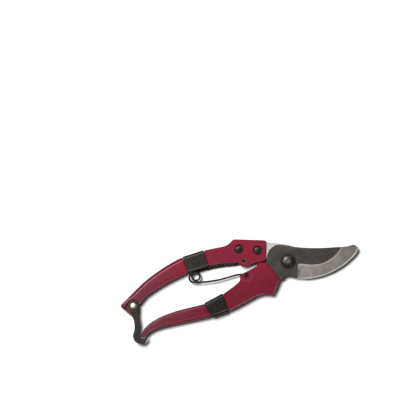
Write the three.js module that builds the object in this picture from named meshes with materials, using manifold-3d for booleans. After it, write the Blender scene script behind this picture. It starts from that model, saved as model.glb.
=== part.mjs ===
// Bypass pruning shears with two coated aluminium handles, a wire spring and a latch.
// Millimetres, +Z up. The shears lie flat with the cutting blade on the upper side.
// The origin is on the pivot axis at the plane that the shears lie on, and +X runs towards the blades.
// They are drawn closed and latched. The "upper" handle is the one on the +Y side.

import * as THREE from "three";
import { mergeVertices } from "three/addons/utils/BufferGeometryUtils.js";
import Module from "manifold-3d";

const wasm = await Module();
wasm.setup();

// ---- Driving dimensions ----

const GAP = 0.3; // between a piece and the seat cut for it
const CURVE_SEGMENTS = 3; // per point of a spline
const ROUND_SEGMENTS = 32;
const PAST = 1; // how far a cutting solid runs past a face that it opens

const HANDLE_BOTTOM = 0.4;
const HANDLE_TOP = 11.8;
const HANDLE_BEVEL = 0.4;

const COUNTER_BOTTOM = 4.0; // counter blade, the hook
const COUNTER_TOP = 7.4;
const BLADE_BOTTOM = 7.5; // cutting blade
const BLADE_TOP = 10.5;
const BLADE_LAND = 0.2; // blunt height left at the cutting edge

const BOLT_RADIUS = 4.0;
const BOLT_HEAD_RADIUS = 5.7;
const BOLT_HEAD_BOTTOM = 11.5;
const BOLT_HEAD_TOP = 14.8;
const BOLT_HOLE_RADIUS = BOLT_RADIUS + GAP;
const HEX_SOCKET = { acrossFlats: 4.0, depth: 1.6 };
const PIVOT_WASHER = { radius: 6.7, bottom: 10.6, top: 11.4 };
const NUT_WASHER = { radius: 8.0, bottom: 3.1, top: 3.9 };
const PIVOT_NUT = { acrossFlats: 13.0, bottom: 0.2, top: 3.0 };

const SCREW_RADIUS = 2.0; // M4 screws hold both blades in the handles
const SCREW_HEAD_RADIUS = 2.9;
const SCREW_HEAD_SHOULDER = 1.2; // straight height of a handle screw's head, below its slope
const SCREW_HOLE_RADIUS = SCREW_RADIUS + GAP;
const CROSS_RECESS = { reach: 1.6, halfWidth: 0.4, depth: 1.0 };
const SCREW_SEAT_RADIUS = 3.6;
const HANDLE_SCREW = { tip: 0.9, seat: 9.2, headBottom: 9.3, headTop: 11.3 };
const HANDLE_NUT = { acrossFlats: 7.0, bottom: 0.8, top: 2.8, seat: 2.9 };
const BLADE_SCREW = { headBottom: 0.9, headTop: 2.9, seat: 3.0, tip: 10.1 };
const HANDLE_SCREW_PLACES = { front: [-20.9, 17.3], rear: [-35.2, 23.5] };
const BLADE_SCREW_PLACES = { front: [-21.0, -7.5], rear: [-33.5, -10.0] };

const BAND_PROUD = 0.4; // the grip bands stand this far above and below the handles
const BAND_WALL = 1.8;
const BAND_BEVEL = 0.5;

const WIRE_RADIUS = 0.8;
const WIRE_HOLE_RADIUS = 1.25;
const WIRE_SIDES = 8;
const COIL_RADIUS = 3.4; // to the middle of the wire
const COIL_PITCH = 1.9;
const COIL_CENTRE = [-77.2, 14.1];
const UPPER_BOSS = [-35.0, 12.7]; // the spring's upper end turns up in this hole
const LOWER_BOSS = [-37.0, 0.5];
const UPPER_LEG_Z = 4.6;
const LOWER_LEG_Z = { coil: 8.4, boss: 6.3 };
const WIRE_END_TOP = 10.9;
const BOSS_RADIUS = 4.8;
const BOSS_DIMPLE = { radius: 2.35, depth: 0.5 };

const RIVET = [-134.9, 8.9]; // the latch turns on it
const RIVET_RADIUS = 1.6;
const RIVET_HOLE_RADIUS = 1.95;
const RIVET_HEAD = { radius: 3.1, bottom: 12.0, top: 13.5 };
const RIVET_TAIL = { radius: 3.0, bottom: 0.8, top: 1.7, seat: 1.8 };
const LATCH_BOTTOM = 9.5;
const LATCH_TOP = 11.9;
const LATCH_EYE_RADIUS = 4.9;
const LATCH_SEAT_Z = 8.7;
const LATCH_SEAT_RADIUS = 5.5;
const LATCH_WASHER = { radius: 4.2, bottom: 8.8, top: 9.4 };
const HOOK_INNER_RADIUS = 28.5; // about the rivet

// ---- Materials ----

function paint(colour, roughness, metalness) {
  return new THREE.MeshStandardMaterial({ color: colour, roughness, metalness });
}

const COATED_HANDLE = () => paint(0x8c2a48, 0.45, 0.1);
const RUBBER = () => paint(0x2b2925, 0.75, 0.0);
const COATED_BLADE = () => paint(0x4a4540, 0.5, 0.6);
const POLISHED_STEEL = () => paint(0xc8c6c0, 0.25, 1.0);
const BLACK_STEEL = () => paint(0x33302d, 0.45, 0.8);
const NICKEL = () => paint(0xc4bca8, 0.3, 1.0);
const ZINC = () => paint(0x9a978f, 0.4, 1.0);

// ---- Solids ----

// A closed geometry as a manifold solid, for joining and cutting.
function solid(geometry) {
  const bare = geometry.clone();
  bare.deleteAttribute("normal");
  bare.deleteAttribute("uv");
  const merged = mergeVertices(bare, 1e-4);
  const corners = merged.index.array;
  const kept = [];
  for (let i = 0; i < corners.length; i += 3) {
    const [a, b, c] = [corners[i], corners[i + 1], corners[i + 2]];
    if (a !== b && b !== c && c !== a) kept.push(a, b, c);
  }
  const mesh = new wasm.Mesh({
    numProp: 3,
    vertProperties: merged.attributes.position.array,
    triVerts: new Uint32Array(kept),
  });
  return new wasm.Manifold(mesh);
}

// The named mesh of a manifold solid.
function piece(name, body, material) {
  const result = body.getMesh();
  const geometry = new THREE.BufferGeometry();
  geometry.setAttribute("position", new THREE.BufferAttribute(result.vertProperties, 3));
  geometry.setIndex(new THREE.BufferAttribute(result.triVerts, 1));
  geometry.computeVertexNormals();
  const mesh = new THREE.Mesh(geometry, material);
  mesh.name = name;
  return mesh;
}

// A flat outline raised from one height to another, its long edges bevelled within the outline.
function plate(shape, bottom, top, bevel = 0) {
  const geometry = new THREE.ExtrudeGeometry(shape, {
    depth: top - bottom - 2 * bevel,
    curveSegments: CURVE_SEGMENTS,
    bevelEnabled: bevel > 0,
    bevelThickness: bevel,
    bevelSize: bevel,
    bevelOffset: -bevel,
    bevelSegments: 1,
  });
  geometry.translate(0, 0, bottom + bevel);
  return solid(geometry);
}

// A solid of revolution about the vertical line at a place. The profile is [radius, z] from axis to axis.
function turned([x, y], profile, segments = ROUND_SEGMENTS) {
  const points = profile.map(([radius, z]) => new THREE.Vector2(radius, z));
  const geometry = new THREE.LatheGeometry(points, segments);
  geometry.rotateX(Math.PI / 2);
  geometry.translate(x, y, 0);
  return solid(geometry);
}

function rod(place, radius, bottom, top, segments = ROUND_SEGMENTS) {
  return turned(place, [[0, bottom], [radius, bottom], [radius, top], [0, top]], segments);
}

function hexagon([x, y], acrossFlats, bottom, top) {
  const cornerRadius = acrossFlats / 2 / Math.cos(Math.PI / 6);
  return rod([x, y], cornerRadius, bottom, top, 6);
}

// A round bar along a curve.
function bar(curve, steps) {
  const section = new THREE.Shape();
  section.absarc(0, 0, WIRE_RADIUS, 0, 2 * Math.PI);
  return solid(new THREE.ExtrudeGeometry(section, {
    steps,
    curveSegments: WIRE_SIDES / 2,
    extrudePath: curve,
  }));
}

// A solid through rings of equal length, the first facing down and the last facing up.
function loft(rings) {
  const count = rings[0].length;
  const positions = rings.flat().flatMap((p) => [p.x, p.y, p.z]);
  const index = [];
  const flat = (ring) => ring.map((p) => new THREE.Vector2(p.x, p.y));
  for (const [a, b, c] of THREE.ShapeUtils.triangulateShape(flat(rings[0]), [])) {
    index.push(a, c, b);
  }
  const last = (rings.length - 1) * count;
  for (const [a, b, c] of THREE.ShapeUtils.triangulateShape(flat(rings.at(-1)), [])) {
    index.push(last + a, last + b, last + c);
  }
  for (let ring = 0; ring < rings.length - 1; ring++) {
    for (let i = 0; i < count; i++) {
      const a = ring * count + i;
      const b = ring * count + (i + 1) % count;
      index.push(a, b, b + count);
      index.push(a, b + count, a + count);
    }
  }
  const geometry = new THREE.BufferGeometry();
  geometry.setAttribute("position", new THREE.Float32BufferAttribute(positions, 3));
  geometry.setIndex(index);
  return solid(geometry);
}

// ---- Outlines ----

const at = (pairs) => pairs.map(([x, y]) => new THREE.Vector2(x, y));
const radians = THREE.MathUtils.degToRad;

// A closed outline with straight sides.
function polygon(pairs) {
  return new THREE.Shape(at(pairs));
}

function circlePath(shape, [x, y], radius, fromDegrees, toDegrees, clockwise = false) {
  shape.absarc(x, y, radius, radians(fromDegrees), radians(toDegrees), clockwise);
}

// A straight-sided outline moved outwards by a distance, for the seat around a piece.
function grown(pairs, distance) {
  const points = at(pairs);
  return points.map((point, i) => {
    const before = points.at(i - 1);
    const after = points[(i + 1) % points.length];
    const inwardSide = point.clone().sub(before).normalize();
    const outwardSide = after.clone().sub(point).normalize();
    const normal = new THREE.Vector2(
      inwardSide.y + outwardSide.y,
      -inwardSide.x - outwardSide.x,
    ).normalize();
    const stretch = normal.x * outwardSide.y - normal.y * outwardSide.x;
    return [point.x + normal.x * distance / stretch, point.y + normal.y * distance / stretch];
  });
}

// The slot that a wire needs to swing about a hole between two directions.
function swingSlot([x, y], fromDegrees, toDegrees, reach) {
  const shape = new THREE.Shape();
  const offset = (degrees, along, aside) => [
    x + along * Math.cos(radians(degrees)) - aside * Math.sin(radians(degrees)),
    y + along * Math.sin(radians(degrees)) + aside * Math.cos(radians(degrees)),
  ];
  shape.moveTo(...offset(fromDegrees, 0, -WIRE_HOLE_RADIUS));
  shape.lineTo(...offset(fromDegrees, reach, -WIRE_HOLE_RADIUS));
  shape.lineTo(...offset((fromDegrees + toDegrees) / 2, 1.2 * reach, 0));
  shape.lineTo(...offset(toDegrees, reach, WIRE_HOLE_RADIUS));
  shape.lineTo(...offset(toDegrees, 0, WIRE_HOLE_RADIUS));
  circlePath(shape, [x, y], WIRE_HOLE_RADIUS, toDegrees + 90, fromDegrees + 270);
  return shape;
}

// ---- Blades ----

const BLADE_SHOULDER_RADIUS = 18.0;
const COUNTER_BOSS_RADIUS = 11.3;
// The tangs run anticlockwise, from the mouth of the handle's slot round to the mouth again.
const BLADE_TANG = [[-17.9, -1.5], [-30, -3.6], [-39, -7.5], [-38.5, -13.8], [-24, -13.6], [-12.8, -12.1]];
const BLADE_SLOT_MOUTH = [[-5, -13.6], [-5, -1.5]];
const COUNTER_TANG = [[-12.2, 21.1], [-38, 30], [-41, 22.5], [-34, 18.4], [-24, 12.5], [-16.9, 8.8]];
const COUNTER_SLOT_MOUTH = [[-9, 8.8], [-4, 21.1]];

// The ground bevel runs from the cutting edge up to a line on the blade's face. Both are drawn through
// the same number of points, from the tip to the heel, and each point faces its partner.
const CUTTING_EDGE = [
  [59.1, -11.0], [57.2, -13.2], [52.9, -15.7], [44.0, -19.3], [34.3, -21.3], [25.1, -22.0], [16.4, -21.2],
  [8.2, -19.1], [2.4, -16.2],
];
const BEVEL_LINE = [
  [46.4, -4.3], [45.4, -5.1], [43.2, -6.8], [38.0, -9.7], [31.0, -11.5], [24.0, -11.5], [16.3, -9.3],
  [9.3, -5.8], [2.6, -15.8],
];
// The back of the blade where the bevel reaches it. It thins towards the point.
const BLADE_NOSE = [[46.4, -4.3], [52.6, -5.9], [55.4, -5.7], [57.3, -6.3], [58.7, -8.5], [59.1, -11.0]];
const BLADE_NECK = [
  [2.4, -16.2], [-0.7, -14.1], [-2.8, -12.6], [-5.1, -11.5], [-6.8, -11.3], [-8.3, -11.9], [-9.8, -12.9],
];

function sampled(pairs, count) {
  return new THREE.SplineCurve(at(pairs)).getPoints(count);
}

const raised = (points, z) => points.map((p) => new THREE.Vector3(p.x, p.y, z));

function cuttingBlade() {
  const back = new THREE.Path(at([[-9.8, -12.9], ...BLADE_TANG.toReversed()]));
  circlePath(back, [0, 0], BLADE_SHOULDER_RADIUS, 184, 130, true);
  back.splineThru(at([
    [-7.8, 15.5], [-4.1, 15.8], [2.2, 13.4], [13.4, 7.2], [29.0, 1.0], [46.4, -4.3],
  ]));
  const plain = back.getPoints(CURVE_SEGMENTS);
  const nose = sampled(BLADE_NOSE, 8).slice(1);
  const edge = sampled(CUTTING_EDGE, 24).slice(1);
  const limit = sampled(BEVEL_LINE, 24).slice(1);
  const neck = sampled(BLADE_NECK, 8).slice(1, -1);
  const edgeTop = BLADE_BOTTOM + BLADE_LAND;
  const noseTop = nose.map((p, i) => {
    const toPoint = (i + 1) / nose.length;
    return new THREE.Vector3(p.x, p.y, THREE.MathUtils.lerp(BLADE_TOP, edgeTop, toPoint));
  });
  const corner = nose.map(() => plain.at(-1));
  // The outline runs clockwise, so each ring is turned round.
  const ringOf = (z, ...middle) => [...raised(plain, z), ...middle.flat(), ...raised(neck, z)].reverse();
  return loft([
    ringOf(BLADE_BOTTOM, raised(nose, BLADE_BOTTOM), raised(edge, BLADE_BOTTOM)),
    ringOf(BLADE_TOP, noseTop, raised(edge, edgeTop)),
    ringOf(BLADE_TOP, raised(corner, BLADE_TOP), raised(limit, BLADE_TOP)),
  ])
    .subtract(rod([0, 0], BOLT_HOLE_RADIUS, BLADE_BOTTOM - PAST, BLADE_TOP + PAST))
    .subtract(bladeScrewHoles(BLADE_BOTTOM - PAST, BLADE_TOP + PAST));
}

function bladeScrewHoles(bottom, top) {
  return rod(BLADE_SCREW_PLACES.front, SCREW_HOLE_RADIUS, bottom, top)
    .add(rod(BLADE_SCREW_PLACES.rear, SCREW_HOLE_RADIUS, bottom, top));
}

function handleScrewHoles(bottom, top) {
  return rod(HANDLE_SCREW_PLACES.front, SCREW_HOLE_RADIUS, bottom, top)
    .add(rod(HANDLE_SCREW_PLACES.rear, SCREW_HOLE_RADIUS, bottom, top));
}

// The hook that the cutting blade passes. Its tang lies inside the upper handle.
function counterBlade() {
  const outline = new THREE.Shape(at([...COUNTER_TANG, [-16.2, 6.9], [-13.6, 4.8]]));
  circlePath(outline, [0, 0], COUNTER_BOSS_RADIUS, 160, 274);
  outline.splineThru(at([
    [1.8, -13.2], [4.6, -16.4], [12.0, -19.5], [20.0, -20.9], [28.0, -21.2], [36.0, -20.3], [44.0, -18.2],
    [51.0, -15.0], [54.0, -12.2], [52.5, -10.2], [44.5, -11.2], [36.0, -12.8], [28.0, -12.8], [20.5, -10.8],
    [14.5, -6.5], [12.0, -0.5], [10.6, 6.0], [8.2, 9.4],
  ]));
  outline.lineTo(5.4, 12.3);
  outline.lineTo(0.9, 14.9);
  outline.lineTo(-8.6, 19.3);
  return plate(outline, COUNTER_BOTTOM, COUNTER_TOP)
    .subtract(rod([0, 0], BOLT_HOLE_RADIUS, COUNTER_BOTTOM - PAST, COUNTER_TOP + PAST))
    .subtract(handleScrewHoles(COUNTER_BOTTOM - PAST, COUNTER_TOP + PAST));
}

// ---- Handles ----

const UPPER_BAND = [[-64.0, 32.7], [-82.3, 33.4], [-81.8, 18.9], [-64.2, 18.1]];
const LOWER_BAND = [[-61.1, -7.1], [-78.1, -9.6], [-76.2, -22.9], [-61.2, -22.8]];

// The band's quadrilateral with its two long sides moved apart along the handle and its two ends across it.
function bandZone([frontTop, rearTop, rearBottom, frontBottom], along, across) {
  return [
    [frontTop[0] + along, frontTop[1] + across],
    [rearTop[0] - along, rearTop[1] + across],
    [rearBottom[0] - along, rearBottom[1] - across],
    [frontBottom[0] + along, frontBottom[1] - across],
  ];
}

function gripBand(quad) {
  const bore = bandZone(quad, 1, -BAND_WALL);
  const bottom = HANDLE_BOTTOM - BAND_PROUD;
  const top = HANDLE_TOP + BAND_PROUD;
  return plate(polygon(quad), bottom, top, BAND_BEVEL)
    .subtract(plate(polygon(bore), bottom + BAND_WALL, top - BAND_WALL));
}

// The handle is necked where its band sits, so that the band lies nearly flush.
function neckForBand(handle, quad) {
  const bottom = HANDLE_BOTTOM - BAND_PROUD + BAND_WALL + GAP;
  const top = HANDLE_TOP + BAND_PROUD - BAND_WALL - GAP;
  const cut = plate(polygon(bandZone(quad, GAP, 3)), HANDLE_BOTTOM - PAST, HANDLE_TOP + PAST);
  const core = plate(polygon(bandZone(quad, 1.5, -BAND_WALL - GAP)), bottom, top);
  return handle.subtract(cut).add(core);
}

// The slot for a blade's tang, open at its mouth.
function tangSlot(tang, mouth, bottom, top) {
  return plate(polygon(grown([...tang, ...mouth], GAP)), bottom - GAP, top + GAP);
}

function upperHandleOutline() {
  const outline = new THREE.Shape();
  outline.moveTo(-11.6, 22.6);
  outline.lineTo(-36.3, 32.5);
  outline.splineThru(at([
    [-37.8, 32.3], [-40.6, 30.9], [-43.6, 30.0], [-47.0, 29.9], [-53.0, 30.8], [-64.0, 32.3], [-74.0, 33.0],
    [-82.8, 33.0], [-89.2, 32.4], [-98.8, 30.6], [-108.6, 28.2], [-118.8, 24.9], [-129.4, 20.3], [-138.7, 15.8],
  ]));
  outline.lineTo(-144.2, 13.5);
  outline.splineThru(at([[-145.3, 12.5], [-144.9, 10.9]]));
  outline.lineTo(-139.6, 1.6);
  outline.splineThru(at([
    [-137.6, 0.8], [-135.4, 2.0], [-132.2, 5.6], [-128.0, 9.6], [-123.3, 12.3], [-118.2, 14.1], [-108.4, 16.4],
    [-98.9, 17.9], [-89.6, 18.9], [-81.8, 19.4], [-64.2, 18.6], [-58.7, 18.1], [-52.8, 17.1], [-46.2, 15.4],
    [-39.6, 13.2],
  ]));
  circlePath(outline, UPPER_BOSS, BOSS_RADIUS, 200, 282);
  outline.lineTo(-25.8, 7.9);
  outline.lineTo(-17.8, 6.9);
  return outline;
}

// The seat that lets the latch lie and turn at the end of the upper handle.
function latchSeat() {
  const top = HANDLE_TOP + 1;
  const side = [[-137.9, 13.5], [-143.6, 9.3], [-152.0, 3.0], [-140.0, -6.0], [-130.0, -2.0], [-129.4, 8.9]];
  return plate(polygon(side), LATCH_SEAT_Z, top)
    .add(rod(RIVET, LATCH_SEAT_RADIUS, LATCH_SEAT_Z, top));
}

function upperHandle() {
  const slot = tangSlot(COUNTER_TANG, COUNTER_SLOT_MOUTH, COUNTER_BOTTOM, COUNTER_TOP);
  let handle = plate(upperHandleOutline(), HANDLE_BOTTOM, HANDLE_TOP, HANDLE_BEVEL);
  handle = neckForBand(handle, UPPER_BAND).subtract(slot).subtract(latchSeat());
  handle = handle.subtract(handleScrewHoles(-PAST, HANDLE_TOP + PAST));
  for (const place of Object.values(HANDLE_SCREW_PLACES)) {
    handle = handle
      .subtract(rod(place, SCREW_SEAT_RADIUS, HANDLE_SCREW.seat, HANDLE_TOP + PAST))
      .subtract(hexagon(place, HANDLE_NUT.acrossFlats + 2 * GAP, -PAST, HANDLE_NUT.seat));
  }
  return handle
    .subtract(rod(RIVET, RIVET_HOLE_RADIUS, -PAST, HANDLE_TOP))
    .subtract(rod(RIVET, RIVET_TAIL.radius + GAP, -PAST, RIVET_TAIL.seat))
    .subtract(springHole(UPPER_BOSS, swingSlot(UPPER_BOSS, 180, 250, 9), UPPER_LEG_Z));
}

// A hole for the turned-up end of the wire, with a dimple on top and a slot for the wire to swing in.
function springHole(place, slot, wireZ) {
  const reach = WIRE_RADIUS + GAP;
  return rod(place, WIRE_HOLE_RADIUS, wireZ - reach, HANDLE_TOP + PAST)
    .add(rod(place, BOSS_DIMPLE.radius, HANDLE_TOP - BOSS_DIMPLE.depth, HANDLE_TOP + PAST))
    .add(plate(slot, wireZ - reach, wireZ + reach));
}

function lowerHandleOutline() {
  const outline = new THREE.Shape();
  outline.moveTo(-17.9, 5.5);
  outline.splineThru(at([[-24.2, 7.2], [-25.2, 6.6], [-25.6, 5.0], [-27.0, 4.3], [-33.7, 3.4], [-41.6, 2.6]]));
  outline.lineTo(-42.4, 0.8);
  outline.splineThru(at([
    [-43.2, -1.5], [-44.8, -2.8], [-49.0, -4.4], [-54.0, -5.9], [-60.6, -7.7], [-69.0, -9.2], [-77.5, -10.2],
    [-90.9, -8.9], [-99.4, -8.0], [-108.3, -7.6], [-117.2, -7.9], [-126.7, -9.7], [-132.0, -12.0],
    [-135.7, -14.7], [-137.4, -16.6], [-137.5, -18.0], [-136.5, -18.8], [-135.2, -18.8], [-133.1, -17.8],
    [-130.2, -16.6], [-126.3, -15.9], [-121.7, -15.9], [-115.7, -16.5], [-107.2, -17.7], [-98.7, -18.9],
    [-86.3, -20.7], [-76.4, -21.9], [-69.0, -22.4], [-61.0, -22.3], [-54.4, -21.7], [-46.0, -20.5],
    [-38.0, -19.1], [-32.7, -18.7], [-28.5, -19.4], [-24.8, -21.2], [-22.6, -22.6], [-21.2, -22.3],
  ]));
  outline.lineTo(-12.4, -13.2);
  outline.splineThru(at([[-11.8, -12.0], [-12.2, -9.7], [-13.6, -5.2], [-15.7, 0.6]]));
  return outline;
}

function lowerHandle() {
  const slot = tangSlot(BLADE_TANG, BLADE_SLOT_MOUTH, BLADE_BOTTOM, BLADE_TOP)
    .add(rod([0, 0], BLADE_SHOULDER_RADIUS + GAP, BLADE_BOTTOM - GAP, BLADE_TOP + GAP));
  let handle = plate(lowerHandleOutline(), HANDLE_BOTTOM, HANDLE_TOP, HANDLE_BEVEL);
  handle = neckForBand(handle, LOWER_BAND).subtract(slot);
  handle = handle.subtract(bladeScrewHoles(-PAST, BLADE_TOP));
  for (const place of Object.values(BLADE_SCREW_PLACES)) {
    handle = handle.subtract(rod(place, SCREW_SEAT_RADIUS, -PAST, BLADE_SCREW.seat));
  }
  return handle
    .subtract(springHole(LOWER_BOSS, swingSlot(LOWER_BOSS, 118, 188, 9), LOWER_LEG_Z.boss));
}

// ---- Pivot and fasteners ----

function pivotBolt() {
  const { acrossFlats, depth } = HEX_SOCKET;
  const middle = (BOLT_HEAD_BOTTOM + BOLT_HEAD_TOP) / 2;
  return turned([0, 0], [
    [0, 0], [BOLT_RADIUS, 0], [BOLT_RADIUS, BOLT_HEAD_BOTTOM], [BOLT_HEAD_RADIUS, BOLT_HEAD_BOTTOM],
    [BOLT_HEAD_RADIUS * 0.95, middle - 0.2], [BOLT_HEAD_RADIUS * 0.78, middle + 0.7],
    [BOLT_HEAD_RADIUS * 0.5, BOLT_HEAD_TOP - 0.35], [0, BOLT_HEAD_TOP],
  ]).subtract(hexagon([0, 0], acrossFlats, BOLT_HEAD_TOP - depth, BOLT_HEAD_TOP + PAST));
}

function ring(place, inner, { radius, bottom, top }) {
  return rod(place, radius, bottom, top).subtract(rod(place, inner, bottom - PAST, top + PAST));
}

function nut(place, inner, { acrossFlats, bottom, top }) {
  return hexagon(place, acrossFlats, bottom, top).subtract(rod(place, inner, bottom - PAST, top + PAST));
}

// A cross recess for a screw's head.
function crossRecess([x, y], bottom, top) {
  const long = CROSS_RECESS.reach;
  const short = CROSS_RECESS.halfWidth;
  const bars = [[long, short], [short, long]].map(([halfX, halfY]) => plate(polygon([
    [x - halfX, y - halfY], [x + halfX, y - halfY], [x + halfX, y + halfY], [x - halfX, y + halfY],
  ]), bottom, top));
  return bars[0].add(bars[1]);
}

function handleScrew(place) {
  const { tip, headBottom, headTop } = HANDLE_SCREW;
  return turned(place, [
    [0, tip], [SCREW_RADIUS, tip], [SCREW_RADIUS, headBottom], [SCREW_HEAD_RADIUS, headBottom],
    [SCREW_HEAD_RADIUS, headBottom + SCREW_HEAD_SHOULDER], [SCREW_HEAD_RADIUS * 0.7, headTop], [0, headTop],
  ]).subtract(crossRecess(place, headTop - CROSS_RECESS.depth, headTop + PAST));
}

function bladeScrew(place) {
  const { headBottom, headTop, tip } = BLADE_SCREW;
  return turned(place, [
    [0, headBottom], [SCREW_HEAD_RADIUS, headBottom], [SCREW_HEAD_RADIUS, headTop],
    [SCREW_RADIUS, headTop], [SCREW_RADIUS, tip], [0, tip],
  ]).subtract(crossRecess(place, headBottom - PAST, headBottom + CROSS_RECESS.depth));
}

// ---- Latch ----

function latch() {
  const [x, y] = RIVET;
  const outline = new THREE.Shape();
  const inner = (degrees, radius) => [
    x + radius * Math.cos(radians(degrees)),
    y + radius * Math.sin(radians(degrees)),
  ];
  const armStart = -42;
  const armEnd = 212;
  outline.moveTo(...inner(armStart, LATCH_EYE_RADIUS));
  circlePath(outline, RIVET, LATCH_EYE_RADIUS, armStart, armEnd);
  outline.splineThru(at([
    [-139.3, 2.5], [-138.7, -1.4], [-139.6, -6.4], [-141.1, -10.3], [-143.4, -13.5], [-144.3, -16.0],
    [-144.1, -19.0], [-142.5, -21.8], [-139.9, -23.4], [-137.0, -23.8], [-135.4, -22.9], [-133.2, -20.9],
    [-132.5, -20.0],
  ]));
  const lipEnd = inner(274.8, 28.2);
  const lipFoot = inner(270.5, HOOK_INNER_RADIUS);
  const root = inner(263.6, HOOK_INNER_RADIUS);
  outline.lineTo(...lipEnd);
  outline.splineThru(at([lipFoot, inner(267, HOOK_INNER_RADIUS + 0.1), root]));
  outline.splineThru(at([[-138.5, -17.6], [-138.0, -15.8], [-135.6, -10.2], [-134.0, -4.4], [-133.1, 1.2]]));
  return plate(outline, LATCH_BOTTOM, LATCH_TOP, 0.3)
    .subtract(rod(RIVET, RIVET_HOLE_RADIUS, LATCH_BOTTOM - PAST, LATCH_TOP + PAST));
}

function latchRivet() {
  const { radius, bottom, top } = RIVET_HEAD;
  return turned(RIVET, [
    [0, RIVET_TAIL.bottom], [RIVET_TAIL.radius, RIVET_TAIL.bottom], [RIVET_TAIL.radius, RIVET_TAIL.top],
    [RIVET_RADIUS, RIVET_TAIL.top], [RIVET_RADIUS, bottom], [radius, bottom],
    [radius * 0.92, bottom + 0.7], [radius * 0.6, top - 0.25], [0, top],
  ]);
}

// ---- Spring ----

class Helix extends THREE.Curve {
  constructor([x, y], radius, bottom, pitch, fromDegrees, turns) {
    super();
    Object.assign(this, { x, y, radius, bottom, pitch, fromDegrees, turns });
  }

  getPoint(t, target = new THREE.Vector3()) {
    const angle = radians(this.fromDegrees) + 2 * Math.PI * this.turns * t;
    return target.set(
      this.x + this.radius * Math.cos(angle),
      this.y + this.radius * Math.sin(angle),
      this.bottom + this.pitch * this.turns * t,
    );
  }
}

function wire(points, steps) {
  const curve = new THREE.CatmullRomCurve3(points.map((p) => new THREE.Vector3(...p)), false, "centripetal");
  return bar(curve, steps);
}

// The upper leg lies along the upper handle and ends in one turn of the coil.
function springUpperLeg() {
  const [x, y] = COIL_CENTRE;
  const z = UPPER_LEG_Z;
  const leg = wire([
    [...UPPER_BOSS, z], [-38.4, 11.8, z], [-44.0, 12.5, z], [-51.1, 14.4, z], [-58.0, 15.8, z],
    [-64.3, 16.8, z], [-71.0, 17.4, z], [x, y + COIL_RADIUS, z],
  ], 24);
  const turn = bar(new Helix(COIL_CENTRE, COIL_RADIUS, z, COIL_PITCH, 90, 1), 24);
  return leg.add(turn).add(rod(UPPER_BOSS, WIRE_RADIUS, z - WIRE_RADIUS, WIRE_END_TOP, 12));
}

// The lower leg starts on top of the coil, bows out round it and runs to the lower handle.
function springLowerLeg() {
  const [x, y] = COIL_CENTRE;
  const { coil, boss } = LOWER_LEG_Z;
  const leg = wire([
    [x + 2.8, y + 1.9, coil], [x + 0.6, y + 3.35, coil], [x - 2.6, y + 3.2, coil], [x - 5.0, y + 1.8, coil],
    [x - 5.9, y - 0.8, coil], [x - 4.8, y - 3.2, coil], [x - 1.9, y - 4.5, coil],
    [x + 3.9, y - 6.4, coil - 0.2],
    [-67.5, 6.2, coil - 0.5], [-59.1, 4.7, coil - 1.0], [-50.5, 4.0, boss + 0.4], [-43.6, 3.4, boss],
    [-39.8, 2.2, boss], [...LOWER_BOSS, boss],
  ], 48);
  return leg.add(rod(LOWER_BOSS, WIRE_RADIUS, boss - WIRE_RADIUS, WIRE_END_TOP, 12));
}

// ---- Assembly ----

const group = new THREE.Group();
group.name = "pruning_shears";

const upperHalf = new THREE.Group();
upperHalf.add(
  piece("upper_handle", upperHandle(), COATED_HANDLE()),
  piece("upper_grip_band", gripBand(UPPER_BAND), RUBBER()),
  piece("counter_blade", counterBlade(), POLISHED_STEEL()),
  piece("pivot_bolt", pivotBolt(), BLACK_STEEL()),
  piece("pivot_washer", ring([0, 0], BOLT_HOLE_RADIUS, PIVOT_WASHER), BLACK_STEEL()),
  piece("nut_washer", ring([0, 0], BOLT_HOLE_RADIUS, NUT_WASHER), ZINC()),
  piece("pivot_nut", nut([0, 0], BOLT_HOLE_RADIUS, PIVOT_NUT), ZINC()),
  piece("latch_rivet", latchRivet(), NICKEL()),
  piece("latch_washer", ring(RIVET, RIVET_HOLE_RADIUS, LATCH_WASHER), BLACK_STEEL()),
);
for (const [end, place] of Object.entries(HANDLE_SCREW_PLACES)) {
  upperHalf.add(
    piece("handle_screw_" + end, handleScrew(place), BLACK_STEEL()),
    piece("handle_nut_" + end, nut(place, SCREW_HOLE_RADIUS, HANDLE_NUT), ZINC()),
  );
}

const lowerHalf = new THREE.Group();
lowerHalf.add(
  piece("lower_handle", lowerHandle(), COATED_HANDLE()),
  piece("lower_grip_band", gripBand(LOWER_BAND), RUBBER()),
  piece("cutting_blade", cuttingBlade(), COATED_BLADE()),
);
for (const [end, place] of Object.entries(BLADE_SCREW_PLACES)) {
  lowerHalf.add(piece("blade_screw_" + end, bladeScrew(place), BLACK_STEEL()));
}

const spring = new THREE.Group();
spring.add(
  piece("spring_upper_leg", springUpperLeg(), BLACK_STEEL()),
  piece("spring_lower_leg", springLowerLeg(), BLACK_STEEL()),
);

group.add(upperHalf, lowerHalf, spring, piece("latch", latch(), BLACK_STEEL()));

export default group;
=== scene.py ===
"""Looks of the pruning shears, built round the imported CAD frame.

Shapes are drawn in the frame of the CAD part, in millimetres until a mesh is made. The lamps, the floor, the
textures and the depth of bumps are in metres, as Blender takes them.
"""

import math

import bmesh
import bpy
import numpy as np
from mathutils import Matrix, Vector
from mathutils.geometry import delaunay_2d_cdt


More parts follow.
